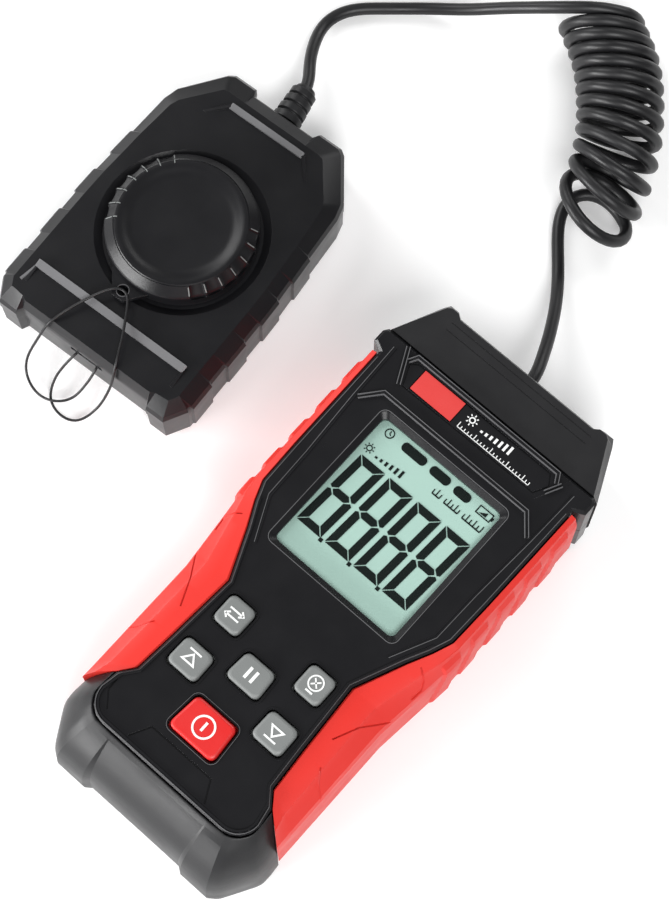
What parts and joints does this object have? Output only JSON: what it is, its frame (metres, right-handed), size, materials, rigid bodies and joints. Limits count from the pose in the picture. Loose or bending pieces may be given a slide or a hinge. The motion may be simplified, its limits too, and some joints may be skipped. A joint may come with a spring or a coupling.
{
  "type": "handheld light meter",
  "caption": "Handheld light meter lying on its back, with a display, push buttons and rubber grips, joined by a curly cord to a capped light sensor head.",
  "frame": {"origin": "the point on the flat back of the display unit, on its centre line just above the battery cover", "axes": "+X to the display unit's right, +Y towards the end its cord leaves, +Z out of its display"},
  "size_m": [0.1686, 0.2677, 0.033],
  "materials": {
    "shell_black": "fine moulded texture, satin black",
    "rubber_black": "soft matt black",
    "rubber_red": "satin red soft-touch rubber",
    "key_grey": "matt grey silicone key",
    "key_red": "matt red silicone key",
    "badge_red": "plain red inlay",
    "clear_plastic": "clear display window",
    "lcd_glass": "grey-green reflective display",
    "white_plastic": "white plastic",
    "silicone_grey": "grey silicone",
    "board_green": "green circuit board",
    "component_black": "black component case",
    "steel": "nickel-plated steel",
    "cell_wrap": "dry cell in a plain wrap",
    "cord_black": "satin black cord jacket",
    "filter_green": "green correction filter"
  },
  "bodies": {
    "meter": {"badge_plate": "badge_red", "battery_cell_1": "cell_wrap", "battery_cell_2": "cell_wrap", "battery_cell_3": "cell_wrap", "battery_contacts": "steel", "battery_springs": "steel", "battery_tray": "shell_black", "bottom_bumper": "rubber_black", "case_screw_1": "steel", "case_screw_2": "steel", "case_screw_3": "steel", "case_screw_4": "steel", "cord_bush": "rubber_black", "cord_clamp": "white_plastic", "cord_coil": "cord_black", "cord_connector": "white_plastic", "cord_meter_run": "cord_black", "dome_sheet": "steel", "front_shell": "shell_black", "keypad_membrane": "silicone_grey", "lcd_backlight": "white_plastic", "lcd_contact_strip": "silicone_grey", "lcd_frame": "white_plastic", "lcd_panel": "lcd_glass", "lcd_window": "clear_plastic", "left_grip": "rubber_red", "main_board": "board_green", "processor_chip": "component_black", "rear_shell": "shell_black", "right_grip": "rubber_red", "top_cap": "rubber_black"},
    "unit_button": {"unit_button": "key_grey"},
    "light_button": {"light_button": "key_grey"},
    "hold_button": {"hold_button": "key_grey"},
    "max_button": {"max_button": "key_grey"},
    "min_button": {"min_button": "key_grey"},
    "power_button": {"power_button": "key_red"},
    "battery_cover": {"battery_cover": "shell_black", "cover_pad": "silicone_grey"},
    "sensor_head": {"sensor_front_shell": "shell_black", "sensor_rear_shell": "shell_black", "sensor_collar": "shell_black", "diffuser_dome": "white_plastic", "light_filter": "filter_green", "photodiode": "component_black", "sensor_board": "board_green", "sensor_screw_1": "steel", "sensor_screw_2": "steel", "sensor_screw_3": "steel", "sensor_screw_4": "steel", "lanyard_pin": "steel", "lanyard": "cord_black", "sensor_strain_relief": "rubber_black", "cord_head_run": "cord_black"},
    "lens_cap": {"lens_cap": "shell_black"}
  },
  "joints": [
    {"name": "unit_press", "type": "slide", "parent": "meter", "child": "unit_button", "axis": [0, 0, -1], "range_m": [0, 0.0008], "stiffness_N_per_m": 500},
    {"name": "light_press", "type": "slide", "parent": "meter", "child": "light_button", "axis": [0, 0, -1], "range_m": [0, 0.0008], "stiffness_N_per_m": 500},
    {"name": "hold_press", "type": "slide", "parent": "meter", "child": "hold_button", "axis": [0, 0, -1], "range_m": [0, 0.0008], "stiffness_N_per_m": 500},
    {"name": "max_press", "type": "slide", "parent": "meter", "child": "max_button", "axis": [0, 0, -1], "range_m": [0, 0.0008], "stiffness_N_per_m": 500},
    {"name": "min_press", "type": "slide", "parent": "meter", "child": "min_button", "axis": [0, 0, -1], "range_m": [0, 0.0008], "stiffness_N_per_m": 500},
    {"name": "power_press", "type": "slide", "parent": "meter", "child": "power_button", "axis": [0, 0, -1], "range_m": [0, 0.0008], "stiffness_N_per_m": 500},
    {"name": "cover_hinge", "type": "hinge", "parent": "meter", "child": "battery_cover", "pos_m": [0, -0.0534, 0.0007], "axis": [-1, 0, 0], "range_deg": [0, 90]},
    {"name": "head_slide", "type": "slide", "parent": "meter", "child": "sensor_head", "axis": [-0.6548, 0.7558, 0], "range_m": [0, 0.1], "deforming": ["cord_coil"]},
    {"name": "cap_lift", "type": "slide", "parent": "sensor_head", "child": "lens_cap", "axis": [0, 0, 1], "range_m": [0, 0.022], "deforming": ["lanyard"]}
  ]
}
